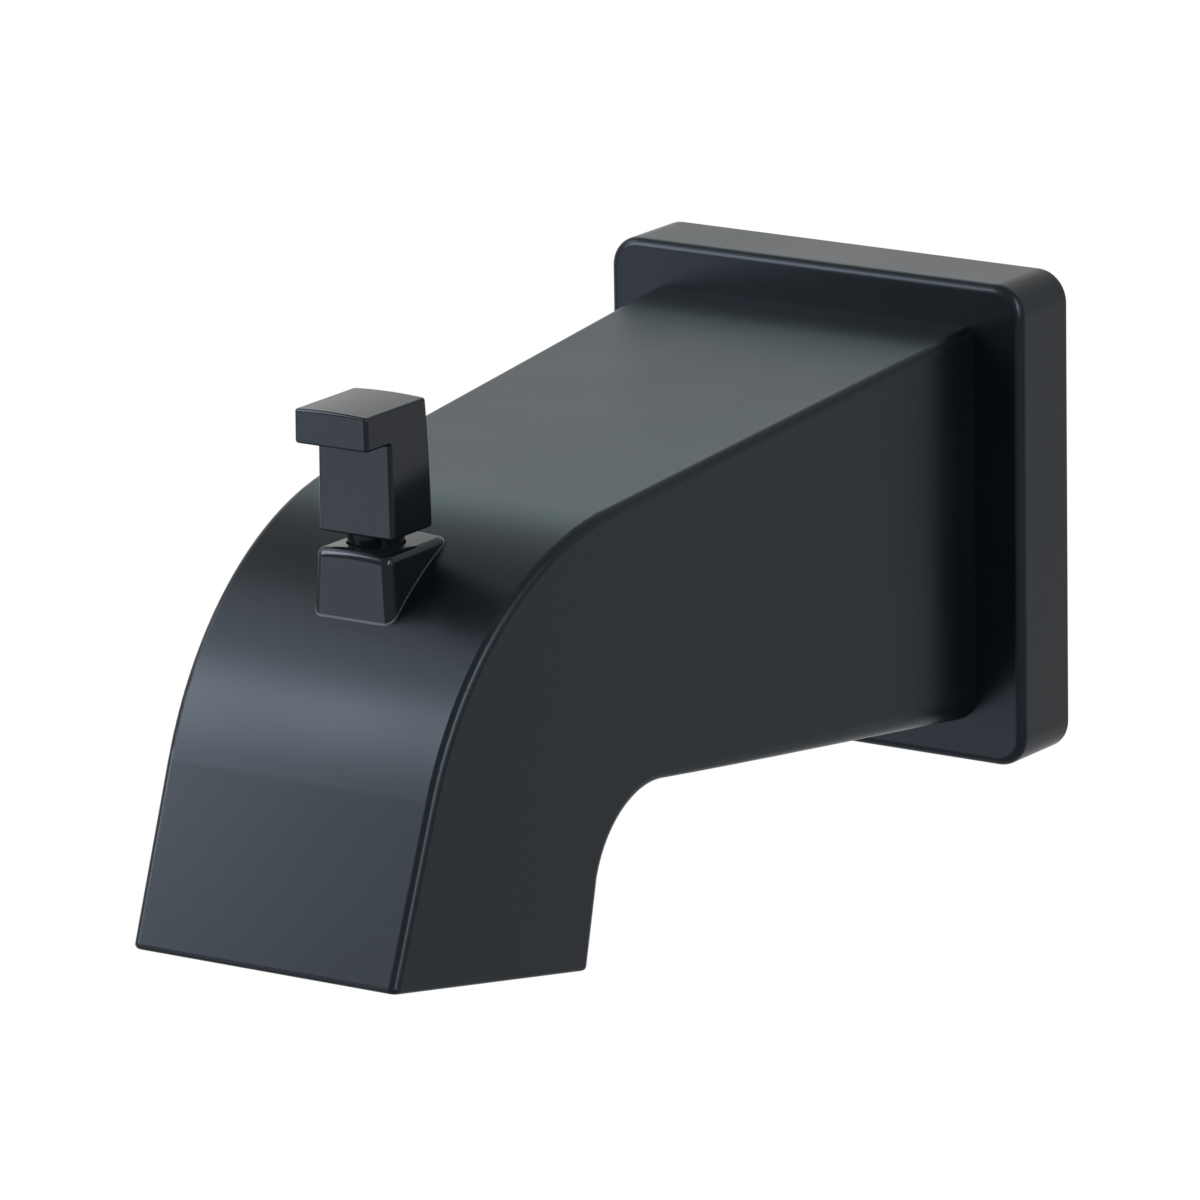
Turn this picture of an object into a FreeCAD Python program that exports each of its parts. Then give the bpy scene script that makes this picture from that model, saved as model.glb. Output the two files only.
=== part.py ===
"""Bath spout with a pull-up diverter, built as the assembly it is.

Frame, in millimetres: the wall is the plane y = 0, the spout reaches out along -Y,
+Z is up, and the origin is on the supply pipe's axis. The pose built is the rest pose,
with the diverter knob down and the water path to the mouth open.
"""
import math
import os

import FreeCAD
import Part

V = FreeCAD.Vector
X, Y, Z = V(1, 0, 0), V(0, 1, 0), V(0, 0, 1)

# Overall sizes. The flange's width sets the scale of everything read from the photo.
FLANGE_WIDTH = 77.4
FLANGE_HEIGHT = 78.4
FLANGE_DEPTH = 13.8
FLANGE_CORNER = 5.0
FLANGE_EDGE = 1.4
WALL = 3.0

# The body's outline seen from the side: straight lines, each a point (y, z) and a slope.
TOP_POINT, TOP_SLOPE = (-14.5, 31.9), 0.0885           # dz per dy
NOSE_POINT, NOSE_SLOPE = (-160.8, -20.5), 0.387        # dy per dz
MOUTH_FRONT, MOUTH_SLOPE = (-167.6, -38.97), -0.172    # dz per dy
BACK_POINT, BACK_SLOPE = (-117.7, -42.2), 0.228         # dy per dz
BOTTOM_POINT, BOTTOM_SLOPE = (-14.5, -32.55), -0.126   # dz per dy
NOSE_RADIUS = 55.5
CROOK_RADIUS = 16.4
LONG_EDGE = 1.4
LOW_EDGE_AT_FLANGE = 4.6    # the lower edges grow rounder from the crook to the flange
MOUTH_EDGE = 0.8

# The body's sides are flat and close in toward the mouth.
SIDE_AT_FLANGE = 30.0
SIDE_TAPER = 0.038
BODY_ROOT = 6.0             # how deep the body's form runs into the flange

# Flange back
RIM = 5.0
POCKET_DEPTH = 11.0
POCKET_CORNER = 4.0
GASKET_WIDTH = 2.4
GASKET_DEPTH = 2.0
GASKET_SIDE_GAP = 0.1

# Gaps shared by many pieces
THREAD_GAP = 0.05           # between a thread's two plain cylinders
RING_GAP = 0.05             # between an O-ring and the walls of its groove
RUN_GAP = 0.3               # between faces that slide past each other
SCREW_CLEAR = 0.3           # round a screw in the piece it passes through

# Inlet socket: a slip fit over nominal half-inch copper pipe, 15.875 mm across
SOCKET_BORE = 8.0
SOCKET_WALL = 3.0
SOCKET_OUTER = SOCKET_BORE + SOCKET_WALL
SOCKET_REAR = -3.0
SOCKET_LEAD = 1.0
PIPE_STOP = -42.0
SOCKET_FACE = PIPE_STOP - 0.5
SOCKET_EAR_THICK = 3.5
SOCKET_COLLAR_R = SOCKET_OUTER + 1.5
SPIGOT_BORE = 6.0
SPIGOT_R = 8.6
SPIGOT_LENGTH = 8.5
SPIGOT_END = SOCKET_FACE - SPIGOT_LENGTH
SPIGOT_GAP = 0.08
GROOVE_WIDTH = 2.5
INLET_RING_Y = (PIPE_STOP + 11.0, PIPE_STOP + 6.0)
INLET_RING_SECTION = 0.95
INLET_RING_PROUD = 0.2
INLET_RING_R = SOCKET_BORE - INLET_RING_PROUD + INLET_RING_SECTION
SEAL_RING_Y = SOCKET_FACE - SPIGOT_LENGTH / 2
SEAL_RING_SECTION = 0.9
SEAL_RING_R = SPIGOT_R + SPIGOT_GAP - RING_GAP - SEAL_RING_SECTION

# Clamp screw in the lug under the socket, drawn backed off from the pipe's path
CLAMP_Y = -22.0
CLAMP_R = 2.95
CLAMP_BACKED_OFF = 0.15
CLAMP_TIP = -(SOCKET_BORE + CLAMP_BACKED_OFF)
CLAMP_LENGTH = 8.5
CLAMP_KEY = 3.0
CLAMP_KEY_DEPTH = 3.0
LUG_R = 5.5
LUG_HEIGHT = 6.0
LUG_BOTTOM = -(SOCKET_OUTER + LUG_HEIGHT)
ACCESS_R = CLAMP_R + 0.25

# Ears that hold the socket and the waterway to the shell
EAR_X = 18.0
EAR_R = 5.5
EAR_THICK = 3.0
EAR_BOSS_R = 5.0
EAR_BOSS_LENGTH = 18.5
EAR_BOSS_END = SOCKET_FACE - EAR_THICK - EAR_BOSS_LENGTH
EAR_SCREW_R = 1.95
EAR_SCREW_HEAD_R = 3.4
EAR_SCREW_HEAD = 2.4
EAR_SCREW_LENGTH = 18.0
SCREW_HOLE_SPARE = 1.5

# Waterway tube, with the cup that takes the socket's spigot
TUBE_BORE = 6.5
TUBE_WALL = 2.2
TUBE_R = TUBE_BORE + TUBE_WALL
CUP_WALL = 2.5
CUP_R = SPIGOT_R + SPIGOT_GAP + CUP_WALL
CUP_FLOOR = SPIGOT_END - 0.4
CUP_END = CUP_FLOOR - 2.1

# The diverter's axis stands square to the pipe's, this far out
STEM_Y = -135.8

# Joint face between the waterway and the gate cage
JOINT_BEHIND = 15.5
JOINT_Y = STEM_Y + JOINT_BEHIND
JOINT_THICK = 6.0
PLATE_HALF = 11.5
PLATE_TOP = TUBE_BORE + 2.5
CAGE_EAR_X = 15.0
CAGE_EAR_Z = -4.0
CAGE_EAR_R = 3.6
CAGE_PLATE = 2.5
CAGE_SCREW_R = 1.45
CAGE_SCREW_HEAD_R = 2.7
CAGE_SCREW_HEAD = 1.9
CAGE_SCREW_LENGTH = 7.0
CAGE_SEAL_SECTION = 0.9
CAGE_SEAL_R = TUBE_BORE + 1.4

# Lift rod and the gate that shuts the port. Down is open, up is shut.
STEM_R = 2.4
STEM_GAP = 0.06
TRAVEL = 12.5
SEAT_BEHIND = 6.5
SEAT_Y = STEM_Y + SEAT_BEHIND
SEAT_THICK = 2.0
PORT_R = 5.0
PORT_Z = -10.5
PLATE_BOTTOM = PORT_Z - PORT_R - 3.0
BOX_HALF = 9.2
BOX_WALL = 2.0
BOX_STEP_BEHIND = 8.9
BOX_STEP_Y = STEM_Y + BOX_STEP_BEHIND
BOX_STEP_WALL = 1.8
BOX_TOP_INSET = 0.2
BOX_BOTTOM_INSET = 0.5
BOX_FLOOR = 1.8
BOX_ROOF_GAP = 0.3
BOX_LOW_ROOF = 1.0
GATE_HALF = 8.5
GATE_HEIGHT = 13.0
GATE_EDGE = 1.0
GATE_BEHIND = 5.0
GATE_REAR = STEM_Y + GATE_BEHIND
GATE_AHEAD = 2.9
GATE_FRONT = STEM_Y - GATE_AHEAD
RAIL_SIDE_GAP = 0.25
RAIL_THICK = 2.5
RAIL_LIP = 1.3
RAIL_PAST_GATE = 1.5
LIP_REACH = 2.0
PAD_R = 6.0
PAD_RECESS = 0.4
FOOT_R = 3.6
FOOT_THICK = 2.0
FOOT_WEB = 2.0
FOOT_GAP = 0.15

# Stem guide, its nut and the land cast for them inside the nose
LAND_Z = 4.0
LAND_R = 7.6
LAND_BOSS_R = 8.2
SHANK_R = 4.5
SHANK_GAP = 0.08
TAB_THICK = 2.6
TAB_R = 7.2
WASHER_THICK = 0.8
WASHER_R = SEAT_BEHIND - RUN_GAP
NUT_FLATS = 11.6
NUT_HEIGHT = 3.2
SHANK_PAST_NUT = 0.4
GUIDE_TOP = 20.0
GUIDE_CROWN = 0.45
GUIDE_HALF_TOP = 6.8
GUIDE_HALF_BOTTOM = 7.7
GUIDE_AHEAD_TOP = 6.6
GUIDE_AHEAD_BOTTOM = 6.75
GUIDE_BEHIND = 9.4
GUIDE_LEAN_HEIGHT = 10.0    # the front leans from its top to this far below it
GUIDE_REAR_CORNER = 2.0
GUIDE_CORNER = 1.6
GUIDE_EDGE = 1.4
GUIDE_GASKET = 0.22
GUIDE_GASKET_LIP = 0.06
ROD_RING_DEPTH = 2.7
ROD_RING_SECTION = 0.9
ROD_RING_GROOVE = 2.2

# Knob. It is threaded on the rod, and its neck drops into a shallow recess in the guide.
KNOB_REST_GAP = 0.3
NECK_R = 4.25
NECK_FLARED_R = 4.7         # where the neck meets the knob
NECK_SUNK = 0.6
NECK_SHOWN = 1.95
KNOB_BOTTOM = GUIDE_TOP + GUIDE_CROWN + NECK_SHOWN
KNOB_HEIGHT = 20.1
KNOB_TOP = KNOB_BOTTOM + KNOB_HEIGHT
KNOB_CROWN = 0.25
LIP_THICK = 5.3
LIP_UNDER = KNOB_TOP - LIP_THICK
LIP_AHEAD = 11.3
KNOB_AHEAD = 5.3
KNOB_BEHIND_TOP = 4.4
KNOB_BEHIND_BOTTOM = 5.4
KNOB_REAR_BOW = 0.25
KNOB_HALF_TOP = 6.6
KNOB_HALF_BOTTOM = 6.8
KNOB_EDGE = 0.45
KNOB_UPRIGHT_EDGE = 0.65
ROD_BELOW_TOP = 8.5


def side_point(y, z):
    return V(0, y, z)


def cylinder(r, start, axis, length):
    return Part.makeCylinder(r, length, start, axis)


def box(x0, x1, y0, y1, z0, z1):
    return Part.makeBox(x1 - x0, y1 - y0, z1 - z0, V(x0, y0, z0))


def prism_yz(points, half):
    """A closed side outline, swept the same distance to both sides of the middle."""
    wire = Part.makePolygon([V(-half, y, z) for y, z in points + points[:1]])
    return Part.Face(wire).extrude(V(2 * half, 0, 0))


def ring(centre_r, section, middle):
    """An O-ring round the Y axis line through middle."""
    return Part.makeTorus(centre_r, section, middle, Y)


def meet(p, d, q, e):
    """Where two lines in the (y, z) plane cross."""
    det = d[0] * -e[1] + e[0] * d[1]
    s = ((q[0] - p[0]) * -e[1] + e[0] * (q[1] - p[1])) / det
    return (p[0] + s * d[0], p[1] + s * d[1])


def shifted(point, direction, inset):
    """The same line moved inward, to its right as it runs from wall to mouth and back."""
    n = math.hypot(*direction)
    return (point[0] + inset * direction[1] / n, point[1] - inset * direction[0] / n)


def outline_corners(inset=0.0, rear=0.0, past_mouth=0.0):
    """The side outline's corners, in order from the wall over the top to the mouth and back."""
    top = (-1.0, -TOP_SLOPE)
    nose = (-NOSE_SLOPE, -1.0)
    mouth = (1.0, MOUTH_SLOPE)
    back = (BACK_SLOPE, 1.0)
    bottom = (1.0, BOTTOM_SLOPE)
    wall = (0.0, 1.0)
    t = shifted(TOP_POINT, top, -inset)
    n = shifted(NOSE_POINT, nose, -inset)
    m = shifted(MOUTH_FRONT, mouth, past_mouth)
    b = shifted(BACK_POINT, back, -inset)
    u = shifted(BOTTOM_POINT, bottom, -inset)
    w = (rear, 0.0)
    return [
        meet(w, wall, t, top),
        meet(t, top, n, nose),
        meet(n, nose, m, mouth),
        meet(m, mouth, b, back),
        meet(b, back, u, bottom),
        meet(u, bottom, w, wall),
    ]


def side_half(y, inset=0.0):
    return SIDE_AT_FLANGE + SIDE_TAPER * (y + FLANGE_DEPTH) - inset


def edges_across(shape, point):
    """Edges that run along X through the given (y, z) point."""
    found = []
    for e in shape.Edges:
        a, b = e.Vertexes[0].Point, e.Vertexes[-1].Point
        flat = abs(a.y - b.y) < 1e-6 and abs(a.z - b.z) < 1e-6
        if flat and abs(a.y - point[0]) < 1e-4 and abs(a.z - point[1]) < 1e-4:
            found.append(e)
    return found


def body_form(inset, rear, past_mouth):
    """The tapered body with its two big bends. The hollow is the same form, inset."""
    corners = outline_corners(inset, rear, past_mouth)
    form = prism_yz(corners, 60.0)
    form = form.makeFillet(NOSE_RADIUS - inset, edges_across(form, corners[1]))
    form = form.makeFillet(CROOK_RADIUS + inset, edges_across(form, corners[4]))
    far, near = -200.0, rear + 1.0
    plan = [(side_half(near, inset), near), (side_half(far, inset), far)]
    plan += [(-x, y) for x, y in reversed(plan)]
    wire = Part.makePolygon([V(x, y, -90) for x, y in plan + plan[:1]])
    return form.common(Part.Face(wire).extrude(V(0, 0, 180)))


def points_along(edge, parts):
    """Points on an edge at the given parts of its length, 0 at its start and 1 at its end."""
    first, last = edge.FirstParameter, edge.LastParameter
    return [edge.valueAt(first + k * (last - first)) for k in parts]


def on_side_plane(edge):
    """True for an edge that lies all along one of the body's flat sides."""
    return all(abs(abs(p.x) - side_half(p.y)) < 1e-4 for p in points_along(edge, (0, 0.5, 1)))


def on_mouth_plane(point):
    level = MOUTH_FRONT[1] + MOUTH_SLOPE * (point.y - MOUTH_FRONT[0])
    return abs(point.z - level) < 1e-3


def nose_centre():
    """Centre (y, z) of the bend over the nose."""
    top, nose = (-1.0, -TOP_SLOPE), (-NOSE_SLOPE, -1.0)
    t = shifted(TOP_POINT, top, -NOSE_RADIUS)
    n = shifted(NOSE_POINT, nose, -NOSE_RADIUS)
    return meet(t, top, n, nose)


def rounded_plate(half_x, half_z, y0, y1, corner):
    plate = box(-half_x, half_x, y0, y1, -half_z, half_z)
    along = [e for e in plate.Edges
             if abs(e.Vertexes[0].Point.y - e.Vertexes[-1].Point.y) > 0.5 * (y1 - y0)]
    return plate.makeFillet(corner, along)


def long_edges(body, rear):
    """The body's edges along its flat sides, from the flange to the mouth."""
    found = []
    for e in body.Edges:
        middle = points_along(e, (0.5,))[0]
        if on_side_plane(e) and middle.y < rear - 1e-3 and not on_mouth_plane(middle):
            found.append(e)
    return found


def round_long_edges(body, rear):
    """One radius over the top and nose. Below, it grows from the crook to the flange."""
    upper = [e for e in long_edges(body, rear) if edge_at_wall(e, rear) and e.CenterOfMass.z > 0]
    body = body.makeFillet(LONG_EDGE, upper)
    for side in (-1, 1):
        lower = [e for e in long_edges(body, rear) if edge_at_wall(e, rear)
                 and e.CenterOfMass.z < 0 and e.CenterOfMass.x * side > 0]
        start = lower[0].Vertexes[0].Point
        radii = (LONG_EDGE, LOW_EDGE_AT_FLANGE)
        first, last = radii[::-1] if start.y > rear - 1e-3 else radii
        body = body.makeFillet(first, last, lower)
    return body


def edge_at_wall(edge, rear):
    return max(v.Point.y for v in edge.Vertexes) > rear - 1e-3


def outer_casting():
    """The outside of the shell: the body stands square on the flange's flat front."""
    rear = BODY_ROOT - FLANGE_DEPTH
    body = round_long_edges(body_form(0.0, rear, 0.0), rear)
    flange = rounded_plate(FLANGE_WIDTH / 2, FLANGE_HEIGHT / 2, -FLANGE_DEPTH, 0.0, FLANGE_CORNER)
    front = [e for e in flange.Edges
             if all(abs(v.Point.y + FLANGE_DEPTH) < 1e-6 for v in e.Vertexes)]
    return flange.makeFillet(FLANGE_EDGE, front).fuse(body).removeSplitter()


def mouth_rim(shape):
    """Outer and inner edges of the mouth's rim."""
    return [e for e in shape.Edges
            if all(on_mouth_plane(p) for p in points_along(e, (0.1, 0.5, 0.9)))]


def land_boss():
    """Cast boss that gives the guide's nut a level land under the sloping nose."""
    boss = cylinder(LAND_BOSS_R, V(0, STEM_Y, LAND_Z), Z, 20.0)
    cy, cz = nose_centre()
    skin = cylinder(NOSE_RADIUS - WALL / 2, V(-30, cy, cz), X, 60.0)
    return boss.common(skin)


def ear_bosses():
    """Cast bosses on the two side walls, for the screws through the ears."""
    bosses = []
    for side in (-1, 1):
        length = EAR_BOSS_END - (SOCKET_FACE - EAR_THICK)
        start = V(side * EAR_X, SOCKET_FACE - EAR_THICK, 0)
        boss = cylinder(EAR_BOSS_R, start, -Y, -length)
        reach = side_half(EAR_BOSS_END) - WALL / 3
        x0, x1 = sorted((side * EAR_X, side * reach))
        web = box(x0, x1, EAR_BOSS_END, start.y, -EAR_BOSS_R, EAR_BOSS_R)
        bosses.append(boss.fuse(web))
    return bosses


def spout_shell():
    casting = outer_casting()
    hollow = body_form(WALL, 2.0, 12.0)
    pocket = rounded_plate(FLANGE_WIDTH / 2 - RIM, FLANGE_HEIGHT / 2 - RIM,
                           -POCKET_DEPTH, 2.0, POCKET_CORNER)
    shell = casting.cut(hollow).cut(pocket)
    shell = shell.fuse([land_boss()] + ear_bosses()).removeSplitter()
    shell = shell.cut(cylinder(LAND_R, V(0, STEM_Y, LAND_Z), -Z, 4.0))
    shell = shell.cut(cylinder(SHANK_R + SHANK_GAP, V(0, STEM_Y, 0), Z, 30.0))
    shell = shell.cut(cylinder(ACCESS_R, V(0, CLAMP_Y, LUG_BOTTOM - 8.0), -Z, 12.0))
    for side in (-1, 1):
        start = V(side * EAR_X, SOCKET_FACE - EAR_THICK + 1.0, 0)
        depth = EAR_SCREW_LENGTH - EAR_THICK - SOCKET_EAR_THICK + SCREW_HOLE_SPARE + 1.0
        shell = shell.cut(cylinder(EAR_SCREW_R + THREAD_GAP, start, -Y, depth))
    shell = shell.cut(gasket_track(GASKET_WIDTH, GASKET_DEPTH))
    return shell.makeFillet(MOUTH_EDGE, mouth_rim(shell))


def gasket_track(width, depth):
    """A flat ring running round the middle of the flange's rim, open to the wall."""
    middle = RIM / 2
    outer = middle - width / 2
    inner = middle + width / 2
    big = rounded_plate(FLANGE_WIDTH / 2 - outer, FLANGE_HEIGHT / 2 - outer,
                        -depth, 0.0, FLANGE_CORNER - outer)
    small = rounded_plate(FLANGE_WIDTH / 2 - inner, FLANGE_HEIGHT / 2 - inner,
                          -depth - 1.0, 1.0, FLANGE_CORNER - inner)
    return big.cut(small)


def wall_gasket():
    return gasket_track(GASKET_WIDTH - 2 * GASKET_SIDE_GAP, GASKET_DEPTH)


def turned(profile):
    """A solid turned round the Y axis from (radius, y) points."""
    wire = Part.makePolygon([V(r, y, 0) for r, y in profile + profile[:1]])
    return Part.Face(wire).revolve(V(0, 0, 0), Y, 360)


def ear_plate(y_rear, thick, core_r):
    """A round collar with an ear to each side, and the two screw holes."""
    plate = cylinder(core_r, V(0, y_rear, 0), -Y, thick)
    bar = box(-EAR_X, EAR_X, y_rear - thick, y_rear, -EAR_R, EAR_R)
    ends = [cylinder(EAR_R, V(s * EAR_X, y_rear, 0), -Y, thick) for s in (-1, 1)]
    plate = plate.fuse([bar] + ends).removeSplitter()
    for s in (-1, 1):
        hole = cylinder(EAR_SCREW_R + SCREW_CLEAR, V(s * EAR_X, y_rear + 1, 0), -Y, thick + 2)
        plate = plate.cut(hole)
    return plate


def inlet_socket():
    ear_rear = SOCKET_FACE + SOCKET_EAR_THICK
    barrel = cylinder(SOCKET_OUTER, V(0, SOCKET_REAR, 0), -Y, SOCKET_REAR - SOCKET_FACE)
    spigot = cylinder(SPIGOT_R, V(0, SOCKET_FACE, 0), -Y, SOCKET_FACE - SPIGOT_END)
    lug = cylinder(LUG_R, V(0, CLAMP_Y, -SOCKET_BORE), -Z, -SOCKET_BORE - LUG_BOTTOM)
    body = barrel.fuse([spigot, lug, ear_plate(ear_rear, SOCKET_EAR_THICK, SOCKET_COLLAR_R)])
    body = body.removeSplitter()
    body = body.cut(cylinder(SOCKET_BORE, V(0, SOCKET_REAR + 1, 0), -Y,
                             SOCKET_REAR + 1 - PIPE_STOP))
    body = body.cut(cylinder(SPIGOT_BORE, V(0, SOCKET_REAR, 0), -Y, 60.0))
    lead = turned([(0, SOCKET_REAR), (SOCKET_BORE + SOCKET_LEAD, SOCKET_REAR),
                   (SOCKET_BORE, SOCKET_REAR - SOCKET_LEAD), (0, SOCKET_REAR - SOCKET_LEAD)])
    body = body.cut(lead)
    groove_r = INLET_RING_R + INLET_RING_SECTION + RING_GAP
    for y in INLET_RING_Y:
        body = body.cut(cylinder(groove_r, V(0, y + GROOVE_WIDTH / 2, 0), -Y, GROOVE_WIDTH))
    body = body.cut(cylinder(CLAMP_R + THREAD_GAP, V(0, CLAMP_Y, -4.0), -Z, 20.0))
    floor_r = SEAL_RING_R - SEAL_RING_SECTION - RING_GAP
    track = cylinder(SPIGOT_R + 1, V(0, SEAL_RING_Y + GROOVE_WIDTH / 2, 0), -Y, GROOVE_WIDTH)
    track = track.cut(cylinder(floor_r, V(0, SEAL_RING_Y + 3, 0), -Y, 6.0))
    return body.cut(track)


def inlet_o_rings():
    return Part.makeCompound([ring(INLET_RING_R, INLET_RING_SECTION, V(0, y, 0))
                              for y in INLET_RING_Y])


def socket_seal():
    return ring(SEAL_RING_R, SEAL_RING_SECTION, V(0, SEAL_RING_Y, 0))


def hexagon(flats, start, axis, height, turn=0.0):
    """A six-sided bar with the given distance across its flats."""
    r = flats / math.sqrt(3)
    u = X
    w = axis.cross(u)
    pts = [start + u * (r * math.cos(a)) + w * (r * math.sin(a))
           for a in [math.radians(60 * k + turn) for k in range(7)]]
    return Part.Face(Part.makePolygon(pts)).extrude(axis * height)


def clamp_screw():
    """Grub screw from below, drawn back just clear of the pipe's path."""
    low = CLAMP_TIP - CLAMP_LENGTH
    body = cylinder(CLAMP_R, V(0, CLAMP_Y, low), Z, CLAMP_LENGTH)
    ends = [e for e in body.Edges if e.Closed]
    body = body.makeChamfer(0.5, ends)
    return body.cut(hexagon(CLAMP_KEY, V(0, CLAMP_Y, low - 0.01), Z, CLAMP_KEY_DEPTH))


def pan_screw(at, axis, shank_r, length, head_r, head):
    """A pan-head screw: at is the middle of the head's seat, axis the way it drives."""
    shank = cylinder(shank_r, at, axis, length)
    cap = cylinder(head_r, at - axis * head, axis, head)
    rim = [e for e in cap.Edges if e.Closed and abs((e.CenterOfMass - at).dot(axis) + head) < 1e-6]
    cap = cap.makeFillet(0.8 * head / 2, rim)
    slot = 0.55 * head
    side = axis.cross(Z)
    for u, w in ((side, Z), (Z, side)):
        corner = at - axis * head - u * (0.62 * head_r) - w * 0.35
        face = Part.Face(Part.makePolygon([corner, corner + u * (1.24 * head_r),
                                           corner + u * (1.24 * head_r) + w * 0.7,
                                           corner + w * 0.7, corner]))
        cap = cap.cut(face.extrude(axis * slot))
    return cap.fuse(shank).removeSplitter()


def ear_screws():
    seat = SOCKET_FACE + SOCKET_EAR_THICK
    return Part.makeCompound([
        pan_screw(V(s * EAR_X, seat, 0), -Y, EAR_SCREW_R, EAR_SCREW_LENGTH,
                  EAR_SCREW_HEAD_R, EAR_SCREW_HEAD) for s in (-1, 1)])


def joint_plate(y_rear, thick, ear_hole):
    """The mating plate shared by the waterway's end and the cage."""
    plate = box(-PLATE_HALF, PLATE_HALF, y_rear - thick, y_rear, PLATE_BOTTOM, PLATE_TOP)
    bar = box(-CAGE_EAR_X, CAGE_EAR_X, y_rear - thick, y_rear,
              CAGE_EAR_Z - CAGE_EAR_R, CAGE_EAR_Z + CAGE_EAR_R)
    ends = [cylinder(CAGE_EAR_R, V(s * CAGE_EAR_X, y_rear, CAGE_EAR_Z), -Y, thick)
            for s in (-1, 1)]
    plate = plate.fuse([bar] + ends).removeSplitter()
    for s in (-1, 1):
        plate = plate.cut(cylinder(ear_hole, V(s * CAGE_EAR_X, y_rear + 1, CAGE_EAR_Z),
                                   -Y, thick + 2))
    return plate


def waterway():
    cup = cylinder(CUP_R, V(0, SOCKET_FACE, 0), -Y, SOCKET_FACE - CUP_END)
    tube = cylinder(TUBE_R, V(0, CUP_END, 0), -Y, CUP_END - JOINT_Y)
    end = joint_plate(JOINT_Y + JOINT_THICK, JOINT_THICK, CAGE_SCREW_R + THREAD_GAP)
    body = cup.fuse([tube, end, ear_plate(SOCKET_FACE, EAR_THICK, CUP_R)]).removeSplitter()
    body = body.cut(cylinder(SPIGOT_R + SPIGOT_GAP, V(0, SOCKET_FACE + 1, 0), -Y,
                             SOCKET_FACE + 1 - CUP_FLOOR))
    body = body.cut(cylinder(TUBE_BORE, V(0, SOCKET_FACE, 0), -Y, 90.0))
    groove = cage_seal_track()
    return body.cut(groove)


def cage_seal_track():
    """Face groove round the tube's end for the cage's O-ring."""
    outer_r = CAGE_SEAL_R + CAGE_SEAL_SECTION + RING_GAP
    inner_r = CAGE_SEAL_R - CAGE_SEAL_SECTION - RING_GAP
    depth = 2 * CAGE_SEAL_SECTION + RING_GAP
    disc = cylinder(outer_r, V(0, JOINT_Y - 1, 0), Y, depth + 1)
    return disc.cut(cylinder(inner_r, V(0, JOINT_Y - 2, 0), Y, depth + 3))


def cage_seal():
    middle = JOINT_Y + CAGE_SEAL_SECTION + RING_GAP / 2
    return ring(CAGE_SEAL_R, CAGE_SEAL_SECTION, V(0, middle, 0))


def tab_bottom():
    return LAND_Z - TAB_THICK


def gate_cage():
    """Seat plate with the port, the chamber behind it, and the rails the gate runs in."""
    plate = joint_plate(JOINT_Y, CAGE_PLATE, CAGE_SCREW_R + SCREW_CLEAR)
    base = PLATE_BOTTOM + BOX_BOTTOM_INSET
    tall = box(-BOX_HALF, BOX_HALF, BOX_STEP_Y, JOINT_Y, base, PLATE_TOP - BOX_TOP_INSET)
    low = box(-BOX_HALF, BOX_HALF, SEAT_Y, BOX_STEP_Y, base, LAND_Z)
    rail_in = GATE_HALF + RAIL_SIDE_GAP
    rail_out = rail_in + RAIL_THICK
    rail_low = gate_bottom() - RAIL_PAST_GATE
    rail_high = gate_bottom() + TRAVEL + GATE_HEIGHT + 0.7
    seat = box(-rail_out, rail_out, SEAT_Y, SEAT_Y + SEAT_THICK, rail_low, tab_bottom())
    lip_front = GATE_FRONT - RUN_GAP - RAIL_LIP
    rails = []
    for s in (-1, 1):
        x0, x1 = sorted((s * rail_in, s * rail_out))
        rails.append(box(x0, x1, lip_front, SEAT_Y, rail_low, rail_high))
        x0, x1 = sorted((s * (rail_in - LIP_REACH), s * rail_out))
        rails.append(box(x0, x1, lip_front, lip_front + RAIL_LIP, rail_low, rail_high))
    tab = cylinder(TAB_R, V(0, STEM_Y, tab_bottom()), Z, TAB_THICK)
    arm = box(-TAB_R, TAB_R, STEM_Y, SEAT_Y, tab_bottom(), LAND_Z)
    cage = plate.fuse([tall, low, seat, tab, arm] + rails).removeSplitter()
    inner = BOX_HALF - BOX_WALL
    floor = base + BOX_FLOOR
    cage = cage.cut(box(-inner, inner, BOX_STEP_Y + BOX_STEP_WALL, JOINT_Y + 1, floor,
                        TUBE_BORE + BOX_ROOF_GAP))
    cage = cage.cut(box(-inner, inner, SEAT_Y + SEAT_THICK, BOX_STEP_Y + BOX_STEP_WALL + 0.2,
                        floor, tab_bottom() - BOX_LOW_ROOF))
    cage = cage.cut(cylinder(PORT_R, V(0, SEAT_Y - 1, PORT_Z), Y, SEAT_THICK + 2))
    return cage.cut(cylinder(SHANK_R + SHANK_GAP, V(0, STEM_Y, 0), Z, 6.0))


def cage_screws():
    seat = JOINT_Y - CAGE_PLATE
    return Part.makeCompound([
        pan_screw(V(s * CAGE_EAR_X, seat, CAGE_EAR_Z), Y, CAGE_SCREW_R, CAGE_SCREW_LENGTH,
                  CAGE_SCREW_HEAD_R, CAGE_SCREW_HEAD) for s in (-1, 1)])


def nut_top():
    return tab_bottom() - WASHER_THICK


def shank_end():
    return nut_top() - NUT_HEIGHT - SHANK_PAST_NUT


def guide_washer():
    disc = cylinder(WASHER_R, V(0, STEM_Y, nut_top()), Z, WASHER_THICK)
    return disc.cut(cylinder(SHANK_R + SHANK_GAP, V(0, STEM_Y, nut_top() - 1), Z, 3.0))


def guide_nut():
    nut = hexagon(NUT_FLATS, V(0, STEM_Y, nut_top() - NUT_HEIGHT), Z, NUT_HEIGHT)
    cone = Part.makeCone(NUT_FLATS / 2 + 0.15, NUT_FLATS / 2 + 0.15 + 1.1 * NUT_HEIGHT,
                         NUT_HEIGHT, V(0, STEM_Y, nut_top() - NUT_HEIGHT), Z)
    nut = nut.common(cone)
    return nut.cut(cylinder(SHANK_R + THREAD_GAP, V(0, STEM_Y, nut_top() - 6), Z, 10.0))


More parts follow.
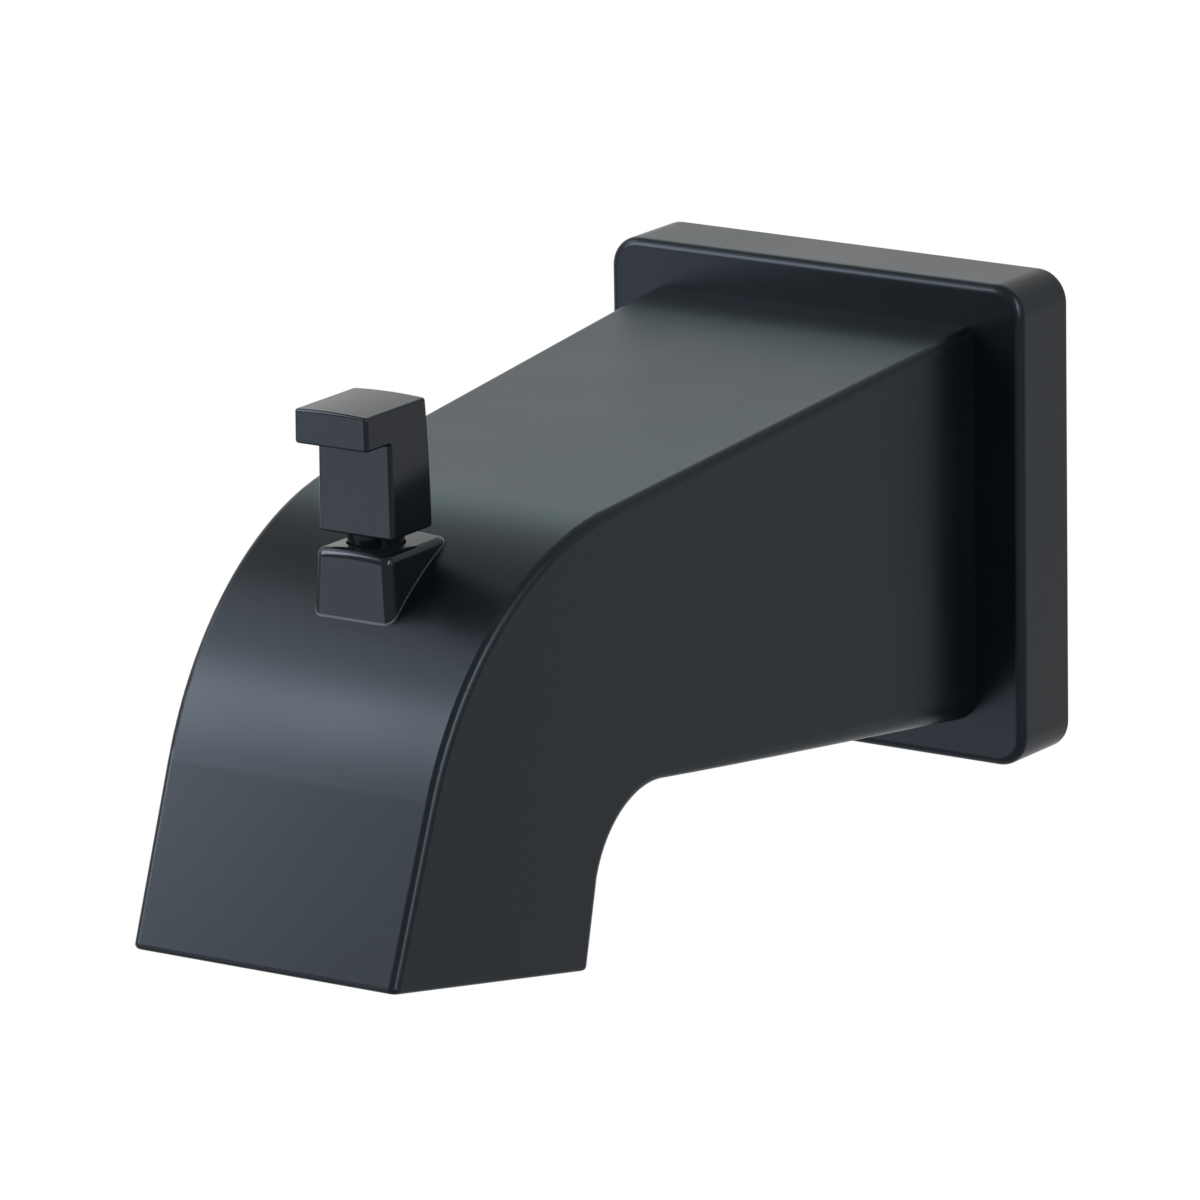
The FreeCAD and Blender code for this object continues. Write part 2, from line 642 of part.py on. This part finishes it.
def crowned_section(half_low, z_low, half_high, z_high, crown, y0, y1):
    """A bar along Y whose sides close in slightly upward and whose top is bowed."""
    a, b = V(-half_low, y0, z_low), V(half_low, y0, z_low)
    c, d = V(half_high, y0, z_high), V(-half_high, y0, z_high)
    edges = [Part.LineSegment(a, b).toShape(), Part.LineSegment(b, c).toShape(),
             Part.Arc(c, V(0, y0, z_high + crown), d).toShape(),
             Part.LineSegment(d, a).toShape()]
    return Part.Face(Part.Wire(edges)).extrude(V(0, y1 - y0, 0))


def wedge_block(lip):
    """The guide's wedge with its upright corners rounded, before its saddle is cut."""
    low, high = LAND_Z, GUIDE_TOP + 2.0
    front, rear_y = STEM_Y - GUIDE_AHEAD_TOP - lip, STEM_Y + GUIDE_BEHIND + lip
    lean = (GUIDE_AHEAD_BOTTOM - GUIDE_AHEAD_TOP) / GUIDE_LEAN_HEIGHT
    bar = crowned_section(GUIDE_HALF_BOTTOM + lip, low, GUIDE_HALF_TOP + lip,
                          GUIDE_TOP, GUIDE_CROWN, front - 4, rear_y + 4)
    keep = prism_yz([(front + lean * (high - GUIDE_TOP), high), (rear_y, high), (rear_y, low),
                     (front - lean * (GUIDE_TOP - low), low)], 2 * GUIDE_HALF_BOTTOM)
    block = bar.common(keep)
    upright = [e for e in block.Edges if e.BoundBox.ZLength > 10.0]
    ahead = [e for e in upright if e.BoundBox.YMin < STEM_Y]
    block = block.makeFillet(GUIDE_CORNER + lip, ahead)
    rear = [e for e in block.Edges
            if e.BoundBox.ZLength > 10.0 and e.BoundBox.YMin > rear_y - 0.1]
    return block.makeFillet(GUIDE_REAR_CORNER + lip, rear)


def saddle(extra):
    """The round nose surface, as a bar across X, with so much laid on it."""
    cy, cz = nose_centre()
    return cylinder(NOSE_RADIUS + extra, V(-15, cy, cz), X, 30.0)


def stem_guide():
    """Wedge that follows the nose's bend, with the shank that passes through the shell."""
    block = wedge_block(0.0)
    rim = [e for e in block.Edges if e.BoundBox.ZMin > GUIDE_TOP - 0.1]
    block = block.makeFillet(GUIDE_EDGE, rim)
    wedge = block.cut(saddle(GUIDE_GASKET))
    wedge = max(wedge.Solids, key=lambda s: s.Volume)
    shank = cylinder(SHANK_R, V(0, STEM_Y, shank_end()), Z, GUIDE_TOP - 3.0 - shank_end())
    guide = wedge.fuse(shank).removeSplitter()
    guide = guide.cut(cylinder(STEM_R + STEM_GAP, V(0, STEM_Y, -10), Z, 40.0))
    guide = guide.cut(cylinder(NECK_R + RUN_GAP, V(0, STEM_Y, neck_floor()), Z, 10.0))
    groove_r = STEM_R + STEM_GAP / 2 + 2 * ROD_RING_SECTION + RING_GAP
    low = GUIDE_TOP - ROD_RING_DEPTH - ROD_RING_GROOVE / 2
    return guide.cut(cylinder(groove_r, V(0, STEM_Y, low), Z, ROD_RING_GROOVE))


def neck_floor():
    """Level of the recess that the knob's neck drops into."""
    return GUIDE_TOP - NECK_SUNK


def guide_gasket():
    """Thin moulded seat between the wedge and the nose, a hair larger than the wedge."""
    block = wedge_block(GUIDE_GASKET_LIP)
    skin = block.common(saddle(GUIDE_GASKET)).cut(saddle(0.0))
    skin = max(skin.Solids, key=lambda s: s.Volume)
    return skin.cut(cylinder(SHANK_R + SHANK_GAP, V(0, STEM_Y, 0), Z, 30.0))


def rod_o_ring():
    middle_r = STEM_R + STEM_GAP / 2 + ROD_RING_SECTION
    middle = V(0, STEM_Y, GUIDE_TOP - ROD_RING_DEPTH)
    return Part.makeTorus(middle_r, ROD_RING_SECTION, middle, Z)


def knob():
    """L-shaped pull: a block, a lip for the finger, and a short round neck below."""
    high = KNOB_TOP + 2.0
    front, lip_front = STEM_Y - KNOB_AHEAD, STEM_Y - LIP_AHEAD
    lean = (KNOB_BEHIND_TOP - KNOB_BEHIND_BOTTOM) / KNOB_HEIGHT
    rear_low = side_point(STEM_Y + KNOB_BEHIND_BOTTOM, KNOB_BOTTOM)
    rear_high = side_point(STEM_Y + KNOB_BEHIND_TOP + lean * (high - KNOB_TOP), high)
    rear_mid = (rear_low + rear_high) / 2 + Y * KNOB_REAR_BOW
    corners = [rear_low, side_point(front, KNOB_BOTTOM), side_point(front, LIP_UNDER),
               side_point(lip_front, LIP_UNDER), side_point(lip_front, high), rear_high]
    edges = [Part.LineSegment(a, b).toShape() for a, b in zip(corners, corners[1:])]
    edges.append(Part.Arc(rear_high, rear_mid, rear_low).toShape())
    side = Part.Face(Part.Wire(edges)).extrude(X * 4 * KNOB_HALF_BOTTOM)
    side.translate(X * -2 * KNOB_HALF_BOTTOM)
    bar = crowned_section(KNOB_HALF_BOTTOM, KNOB_BOTTOM, KNOB_HALF_TOP, KNOB_TOP,
                          KNOB_CROWN, lip_front - 2, rear_low.y + 2)
    block = side.common(bar)
    upright = [e for e in block.Edges if e.BoundBox.ZLength > LIP_THICK / 2]
    block = block.makeFillet(KNOB_UPRIGHT_EDGE, upright)
    level = [e for e in block.Edges if e.BoundBox.ZLength < 1.0]
    block = block.makeFillet(KNOB_EDGE, level)
    neck_low = neck_floor() + KNOB_REST_GAP
    neck = cylinder(NECK_R, V(0, STEM_Y, neck_low), Z, KNOB_BOTTOM - neck_low)
    flare = Part.makeCone(NECK_R, NECK_FLARED_R, NECK_SHOWN,
                          V(0, STEM_Y, KNOB_BOTTOM - NECK_SHOWN), Z)
    block = block.fuse([neck, flare]).removeSplitter()
    return block.cut(cylinder(STEM_R + THREAD_GAP, V(0, STEM_Y, 0), Z, rod_top()))


def gate_bottom():
    """Raised, the gate's middle is level with the port. It rests one travel lower."""
    return PORT_Z - GATE_HEIGHT / 2 - TRAVEL


def foot_top():
    return gate_bottom() + GATE_HEIGHT - FOOT_WEB


def rod_top():
    return KNOB_TOP - ROD_BELOW_TOP


def lift_rod():
    low = foot_top() - FOOT_THICK
    rod = cylinder(STEM_R, V(0, STEM_Y, low), Z, rod_top() - low)
    foot = cylinder(FOOT_R, V(0, STEM_Y, low), Z, FOOT_THICK)
    return rod.fuse(foot).removeSplitter()


def gate():
    low = gate_bottom()
    block = box(-GATE_HALF, GATE_HALF, GATE_FRONT, GATE_REAR, low, low + GATE_HEIGHT)
    ends = [e for e in block.Edges if e.BoundBox.YLength > (GATE_REAR - GATE_FRONT) / 2]
    block = block.makeFillet(GATE_EDGE, ends)
    top = foot_top()
    for half, z0, z1 in ((STEM_R + FOOT_GAP, top - 1.0, low + GATE_HEIGHT + 1.0),
                         (FOOT_R + FOOT_GAP, top - FOOT_THICK - FOOT_GAP, top)):
        slot = box(-half, half, GATE_FRONT - 1, STEM_Y, z0, z1)
        block = block.cut(slot.fuse(cylinder(half, V(0, STEM_Y, z0), Z, z1 - z0)))
    middle = V(0, GATE_REAR + 1, low + GATE_HEIGHT / 2)
    return block.cut(cylinder(PAD_R, middle, -Y, PAD_RECESS + 1))


def gate_seal():
    """Rubber pad let into the gate's rear face. It faces the seat across the running gap."""
    middle = V(0, GATE_REAR - PAD_RECESS, gate_bottom() + GATE_HEIGHT / 2)
    face = SEAT_Y - RUN_GAP
    pad = cylinder(PAD_R - 0.05, middle, Y, face - middle.y)
    rim = [e for e in pad.Edges if e.Closed and abs(e.CenterOfMass.y - face) < 1e-6]
    return pad.makeFillet(0.3, rim)


NODES = {
    "spout_shell": spout_shell,
    "wall_gasket": wall_gasket,
    "inlet_socket": inlet_socket,
    "inlet_o_rings": inlet_o_rings,
    "clamp_screw": clamp_screw,
    "ear_screws": ear_screws,
    "socket_seal": socket_seal,
    "waterway": waterway,
    "gate_cage": gate_cage,
    "cage_seal": cage_seal,
    "cage_screws": cage_screws,
    "stem_guide": stem_guide,
    "guide_gasket": guide_gasket,
    "guide_washer": guide_washer,
    "guide_nut": guide_nut,
    "rod_o_ring": rod_o_ring,
    "knob": knob,
    "lift_rod": lift_rod,
    "gate": gate,
    "gate_seal": gate_seal,
}

os.makedirs("parts", exist_ok=True)
for name, make in NODES.items():
    shape = make()
    solids = shape.Solids
    if not shape.isValid() or not solids:
        raise ValueError(f"{name} did not build as a valid solid")
    shape = solids[0] if len(solids) == 1 else Part.makeCompound(solids)
    shape.exportStep(f"parts/{name}.step")
    b = shape.BoundBox
    print(f"{name:14s} solids {len(solids)} volume {shape.Volume:9.1f} "
          f"x {b.XMin:7.2f} {b.XMax:7.2f} y {b.YMin:8.2f} {b.YMax:8.2f} "
          f"z {b.ZMin:7.2f} {b.ZMax:7.2f}")
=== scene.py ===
"""Looks of the wall-mounted bath spout: finishes, studio light and the camera.

Everything is in metres in the part's own frame: the wall is the plane y = 0, the spout
reaches out along -Y and +Z is up.
"""
import math

import bpy
from mathutils import Matrix, Vector


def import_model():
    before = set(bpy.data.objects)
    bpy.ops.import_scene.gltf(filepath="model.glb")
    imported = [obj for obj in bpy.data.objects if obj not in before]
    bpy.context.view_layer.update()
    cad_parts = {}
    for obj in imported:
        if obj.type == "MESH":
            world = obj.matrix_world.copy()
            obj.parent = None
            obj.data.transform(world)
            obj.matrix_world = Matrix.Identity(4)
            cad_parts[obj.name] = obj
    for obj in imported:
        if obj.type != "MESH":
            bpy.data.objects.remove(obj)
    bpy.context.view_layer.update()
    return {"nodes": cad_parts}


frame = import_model()
nodes = frame["nodes"]

# The photograph's view, read from the edges of the square flange and the body.
IMAGE_WIDTH = 1200
SENSOR_WIDTH = 36.0
FOCAL_PIXELS = 10935.0
CAMERA_PLACE = Vector((0.91675, -1.4380, 0.42753))
CAMERA_AZIMUTH = math.radians(33.94)
CAMERA_ELEVATION = math.radians(14.67)
CAMERA_ROLL = math.radians(-0.924)
CLIP_NEAR = 0.05
CLIP_FAR = 60.0

# The floor lies well below the spout, as a bath's rim and bottom would. Between two distances
# from its middle, its share of plain white grows from the near one to the far one.
FLOOR_MIDDLE = (0.0, -0.08, -0.45)
FLOOR_HALF = 12.0
FADE_START = 0.45
FADE_END = 0.90
WHITE_NEAR = 0.25
WHITE_FAR = 1.0

# The studio's light: a weak, even fill from all round, and softboxes that face one point.
WHITE = (1.0, 1.0, 1.0, 1.0)
WHITE_LEVEL = 1.0
FILL_LEVEL = 0.05
FILL_COLOUR = (0.94, 0.99, 1.0, 1.0)
LIT_POINT = Vector((0.0, -0.15, 0.0))

# A lamp's watts for each square metre of it, at a radiance of 1.
WATTS_PER_AREA = 4.0


def add_node(tree, kind, links=None, **values):
    """Add a shader node. Links give its sockets a source or a value, and values its settings."""
    node = tree.nodes.new(kind)
    for key, value in values.items():
        setattr(node, key, value)
    for socket, source in (links or {}).items():
        if isinstance(source, bpy.types.NodeSocket):
            tree.links.new(source, node.inputs[socket])
        else:
            node.inputs[socket].default_value = source
    return node


def seen_rays(tree):
    """1 for a ray that looks at the background: straight, in a reflection or through glass."""
    rays = add_node(tree, "ShaderNodeLightPath").outputs
    seen = rays["Is Camera Ray"]
    for also in ("Is Glossy Ray", "Is Transmission Ray"):
        larger = add_node(tree, "ShaderNodeMath", {0: seen, 1: rays[also]}, operation="MAXIMUM")
        seen = larger.outputs[0]
    return seen


class Finish:
    """One material, and the node tree that it is built from."""

    def __init__(self, name):
        self.material = bpy.data.materials.new(name)
        self.material.use_nodes = True
        self.tree = self.material.node_tree
        self.tree.nodes.clear()
        self.output = self.add("ShaderNodeOutputMaterial")
        self.place = self.add("ShaderNodeTexCoord").outputs["Object"]

    def add(self, kind, links=None, **values):
        return add_node(self.tree, kind, links, **values)

    def noise(self, scale, detail, rough=0.5, stretch=None):
        """Noise with so many features to the metre, stretched along the axes if asked."""
        place = self.place
        if stretch:
            place = self.add("ShaderNodeMapping", {"Vector": place, "Scale": stretch}).outputs[0]
        links = {"Vector": place, "Scale": scale, "Detail": detail, "Roughness": rough}
        return self.add("ShaderNodeTexNoise", links).outputs["Fac"]

    def span(self, source, low, high, start=0.3, end=0.7):
        """The source's range start to end, laid over low to high."""
        links = {"Value": source, "From Min": start, "From Max": end,
                 "To Min": low, "To Max": high}
        return self.add("ShaderNodeMapRange", links).outputs["Result"]

    def blend(self, source, dark, light):
        """A colour between dark and light, as the source goes from 0 to 1."""
        mix = self.add("ShaderNodeMix", data_type="RGBA")
        self.tree.links.new(source, mix.inputs["Factor"])
        mix.inputs["A"].default_value = (*dark, 1.0)
        mix.inputs["B"].default_value = (*light, 1.0)
        return mix.outputs["Result"]

    def bump(self, source, strength, distance):
        links = {"Height": source, "Strength": strength, "Distance": distance}
        return self.add("ShaderNodeBump", links).outputs["Normal"]

    def cover(self, colour, roughness, normal, **fixed):
        """Join the parts to a shader. Fixed values go straight to the sockets of their names."""
        links = {"Base Color": colour, "Roughness": roughness, "Normal": normal}
        for socket, value in fixed.items():
            links[socket.replace("_", " ")] = value
        shader = self.add("ShaderNodeBsdfPrincipled", links)
        self.tree.links.new(shader.outputs["BSDF"], self.output.inputs["Surface"])
        return self.material


def powder_coat():
    """Satin black powder coat: a faint grain, and a soft drift in sheen over the form."""
    f = Finish("satin_black_coat")
    grain = f.noise(scale=2600.0, detail=2.0)
    drift = f.noise(scale=38.0, detail=2.0)
    colour = f.blend(drift, dark=(0.0016, 0.0026, 0.0036), light=(0.0024, 0.0036, 0.0048))
    rough = f.span(drift, low=0.28, high=0.32)
    normal = f.bump(grain, strength=0.05, distance=0.00004)
    return f.cover(colour, rough, normal, Specular_IOR_Level=0.15,
                   Specular_Tint=(0.85, 0.95, 1.08, 1.0))


def gloss_black():
    """Gloss black enamel over the same casting metal, with a faint orange peel."""
    f = Finish("gloss_black_enamel")
    peel = f.noise(scale=620.0, detail=2.0)
    drift = f.noise(scale=60.0, detail=2.0)
    colour = f.blend(drift, dark=(0.0036, 0.0044, 0.0052), light=(0.0052, 0.0060, 0.0070))
    rough = f.span(drift, low=0.13, high=0.19)
    normal = f.bump(peel, strength=0.08, distance=0.00004)
    return f.cover(colour, rough, normal, Specular_IOR_Level=0.15,
                   Specular_Tint=(0.88, 0.95, 1.08, 1.0))


def turned_brass():
    """Turned brass: fine lathe rings along the pipe's axis, with a little dull tarnish."""
    f = Finish("turned_brass")
    rings = f.noise(scale=900.0, detail=2.0, stretch=(0.02, 3.0, 0.02))
    tarnish = f.noise(scale=120.0, detail=4.0, rough=0.6)
    colour = f.blend(tarnish, dark=(0.60, 0.43, 0.19), light=(0.76, 0.58, 0.30))
    rough = f.span(tarnish, low=0.24, high=0.40)
    normal = f.bump(rings, strength=0.25, distance=0.00006)
    return f.cover(colour, rough, normal, Metallic=1.0)


def drawn_brass():
    """Drawn brass rod and nut: fine scratches along the upright axis."""
    f = Finish("drawn_brass")
    streaks = f.noise(scale=1500.0, detail=2.0, stretch=(1.0, 1.0, 0.03))
    tarnish = f.noise(scale=140.0, detail=4.0, rough=0.6)
    colour = f.blend(tarnish, dark=(0.62, 0.45, 0.21), light=(0.78, 0.60, 0.33))
    rough = f.span(tarnish, low=0.22, high=0.34)
    normal = f.bump(streaks, strength=0.15, distance=0.00004)
    return f.cover(colour, rough, normal, Metallic=1.0)


def plain_steel():
    """Plain stainless steel, slightly clouded."""
    f = Finish("plain_steel")
    grain = f.noise(scale=1800.0, detail=3.0)
    cloud = f.noise(scale=160.0, detail=3.0)
    colour = f.blend(cloud, dark=(0.50, 0.50, 0.49), light=(0.64, 0.64, 0.62))
    rough = f.span(cloud, low=0.24, high=0.36)
    normal = f.bump(grain, strength=0.12, distance=0.00003)
    return f.cover(colour, rough, normal, Metallic=1.0)


def moulded_plastic(name, dark, light, smoothest, roughest):
    """Moulded plastic with a fine spark-eroded grain."""
    f = Finish(name)
    grain = f.noise(scale=3200.0, detail=2.0)
    cloud = f.noise(scale=70.0, detail=3.0)
    colour = f.blend(cloud, dark, light)
    rough = f.span(cloud, smoothest, roughest)
    normal = f.bump(grain, strength=0.12, distance=0.00004)
    return f.cover(colour, rough, normal)


def soft_seal(name, dark, light, smoothest, roughest, **fixed):
    """Soft sealing material with a faint bloom on its surface."""
    f = Finish(name)
    grain = f.noise(scale=2400.0, detail=3.0)
    bloom = f.noise(scale=180.0, detail=4.0, rough=0.6)
    colour = f.blend(bloom, dark, light)
    rough = f.span(bloom, smoothest, roughest)
    normal = f.bump(grain, strength=0.2, distance=0.00005)
    return f.cover(colour, rough, normal, **fixed)


def white_plastic():
    return moulded_plastic("white_moulding", dark=(0.72, 0.72, 0.69), light=(0.80, 0.80, 0.77),
                           smoothest=0.42, roughest=0.52)


def grey_plastic():
    return moulded_plastic("grey_moulding", dark=(0.30, 0.31, 0.32), light=(0.37, 0.38, 0.39),
                           smoothest=0.38, roughest=0.48)


def black_rubber():
    return soft_seal("black_seal", dark=(0.018, 0.018, 0.018), light=(0.034, 0.034, 0.033),
                     smoothest=0.55, roughest=0.78)


def clear_plastic():
    """Clear soft plastic, which lets most of the black beneath it show through."""
    return soft_seal("clear_seal", dark=(0.24, 0.255, 0.26), light=(0.30, 0.315, 0.32),
                     smoothest=0.40, roughest=0.55,
                     Transmission_Weight=0.9, Specular_IOR_Level=0.3)


def dress(material, *names):
    """Give the named nodes this material and no other."""
    for name in names:
        mesh = nodes[name].data
        mesh.materials.clear()
        mesh.materials.append(material)


def finishes():
    dress(powder_coat(), "spout_shell")
    dress(gloss_black(), "knob", "stem_guide")
    dress(turned_brass(), "inlet_socket")
    dress(drawn_brass(), "lift_rod", "guide_nut")
    dress(plain_steel(), "clamp_screw", "ear_screws", "cage_screws", "guide_washer")
    dress(white_plastic(), "waterway")
    dress(grey_plastic(), "gate_cage", "gate")
    dress(black_rubber(), "wall_gasket", "inlet_o_rings", "socket_seal", "cage_seal",
          "rod_o_ring", "gate_seal")
    dress(clear_plastic(), "guide_gasket")


def floor():
    """Pale floor. Near the spout it keeps the shadow, and further off it fades to white."""
    mesh = bpy.data.meshes.new("floor")
    h = FLOOR_HALF
    mesh.from_pydata([(-h, -h, 0), (h, -h, 0), (h, h, 0), (-h, h, 0)], [], [(0, 1, 2, 3)])
    obj = bpy.data.objects.new("floor", mesh)
    bpy.context.scene.collection.objects.link(obj)
    obj.location = FLOOR_MIDDLE
    f = Finish("pale_floor")
    paper = f.noise(scale=9.0, detail=4.0)
    tone = f.blend(paper, dark=(0.78, 0.78, 0.775), light=(0.82, 0.82, 0.815))
    matt = f.add("ShaderNodeBsdfDiffuse", {"Color": tone})
    white = f.add("ShaderNodeEmission", {"Color": WHITE, "Strength": WHITE_LEVEL})
    away = f.add("ShaderNodeVectorMath", {0: f.place}, operation="LENGTH").outputs["Value"]
    fade = f.span(away, WHITE_NEAR, WHITE_FAR, start=FADE_START, end=FADE_END)
    share = f.add("ShaderNodeMath", {0: seen_rays(f.tree), 1: fade}, operation="MULTIPLY")
    mix = f.add("ShaderNodeMixShader", {0: share.outputs[0], 1: matt.outputs[0],
                                        2: white.outputs[0]})
    f.tree.links.new(mix.outputs[0], f.output.inputs["Surface"])
    mesh.materials.append(f.material)


def world():
    """White wherever it is seen, and an even fill where it only lights."""
    studio = bpy.data.worlds.new("studio")
    bpy.context.scene.world = studio
    studio.use_nodes = True
    tree = studio.node_tree
    tree.nodes.clear()
    fill = add_node(tree, "ShaderNodeBackground",
                    {"Color": FILL_COLOUR, "Strength": FILL_LEVEL})
    white = add_node(tree, "ShaderNodeBackground", {"Color": WHITE, "Strength": WHITE_LEVEL})
    mix = add_node(tree, "ShaderNodeMixShader", {0: seen_rays(tree), 1: fill.outputs[0],
                                                 2: white.outputs[0]})
    add_node(tree, "ShaderNodeOutputWorld", {"Surface": mix.outputs[0]})


def softbox(name, azimuth, elevation, distance, size, radiance, colour, lean=0.0):
    """A soft rectangular lamp that faces the spout, with its angles in degrees.

    Azimuth 0 is toward the wall and 90 is +X. Lean turns the lamp about its own middle, as
    seen from behind it.
    """
    width, height = size
    data = bpy.data.lights.new(name, "AREA")
    data.shape = "RECTANGLE"
    data.size, data.size_y = width, height
    data.energy = WATTS_PER_AREA * width * height * radiance
    data.color = colour
    lamp = bpy.data.objects.new(name, data)
    bpy.context.scene.collection.objects.link(lamp)
    a, e = math.radians(azimuth), math.radians(elevation)
    out = Vector((math.sin(a) * math.cos(e), math.cos(a) * math.cos(e), math.sin(e)))
    lamp.location = LIT_POINT + distance * out
    lamp.rotation_mode = "QUATERNION"
    turn = Matrix.Rotation(math.radians(lean), 3, "Z").to_quaternion()
    lamp.rotation_quaternion = (-out).to_track_quat("-Z", "Y") @ turn


def lights():
    """A key and its spill on the -X side, one low in front, one behind, and a pair at +X."""
    softbox("key", azimuth=-131.0, elevation=26.0, distance=0.7, size=(0.21, 0.42),
            radiance=16.0, colour=(0.87, 0.92, 1.0))
    softbox("key_spill", azimuth=-107.0, elevation=40.0, distance=1.0, size=(0.50, 0.50),
            radiance=4.2, colour=(0.84, 0.91, 1.0))
    softbox("low_front", azimuth=-144.0, elevation=-16.0, distance=1.0, size=(0.60, 0.35),
            radiance=2.5, colour=(0.82, 0.88, 1.0))
    softbox("back", azimuth=-37.0, elevation=33.0, distance=1.0, size=(0.40, 0.24),
            radiance=1.1, colour=(0.55, 0.95, 1.0))
    softbox("right", azimuth=111.0, elevation=25.0, distance=0.9, size=(0.22, 0.80),
            radiance=14.0, colour=(0.84, 0.95, 1.0), lean=-32.0)
    softbox("right_spill", azimuth=86.0, elevation=22.0, distance=0.9, size=(0.36, 0.80),
            radiance=1.4, colour=(0.84, 0.95, 1.0), lean=-32.0)


def camera():
    """The photograph's camera: a long lens, in front of the wall, above and on the +X side."""
    data = bpy.data.cameras.new("camera")
    data.sensor_fit = "HORIZONTAL"
    data.sensor_width = SENSOR_WIDTH
    data.lens = FOCAL_PIXELS / IMAGE_WIDTH * SENSOR_WIDTH
    data.clip_start, data.clip_end = CLIP_NEAR, CLIP_FAR
    eye = bpy.data.objects.new("camera", data)
    bpy.context.scene.collection.objects.link(eye)
    sin_a, cos_a = math.sin(CAMERA_AZIMUTH), math.cos(CAMERA_AZIMUTH)
    sin_e, cos_e = math.sin(CAMERA_ELEVATION), math.cos(CAMERA_ELEVATION)
    back = Vector((sin_a * cos_e, -cos_a * cos_e, sin_e))
    right = Vector((cos_a, sin_a, 0.0))
    up = back.cross(right)
    c, s = math.cos(CAMERA_ROLL), math.sin(CAMERA_ROLL)
    axes = Matrix((right * c + up * s, up * c - right * s, back)).transposed()
    eye.matrix_world = Matrix.Translation(CAMERA_PLACE) @ axes.to_4x4()
    bpy.context.scene.camera = eye


finishes()
floor()
world()
lights()
camera()
bpy.context.scene.view_settings.view_transform = "Standard"
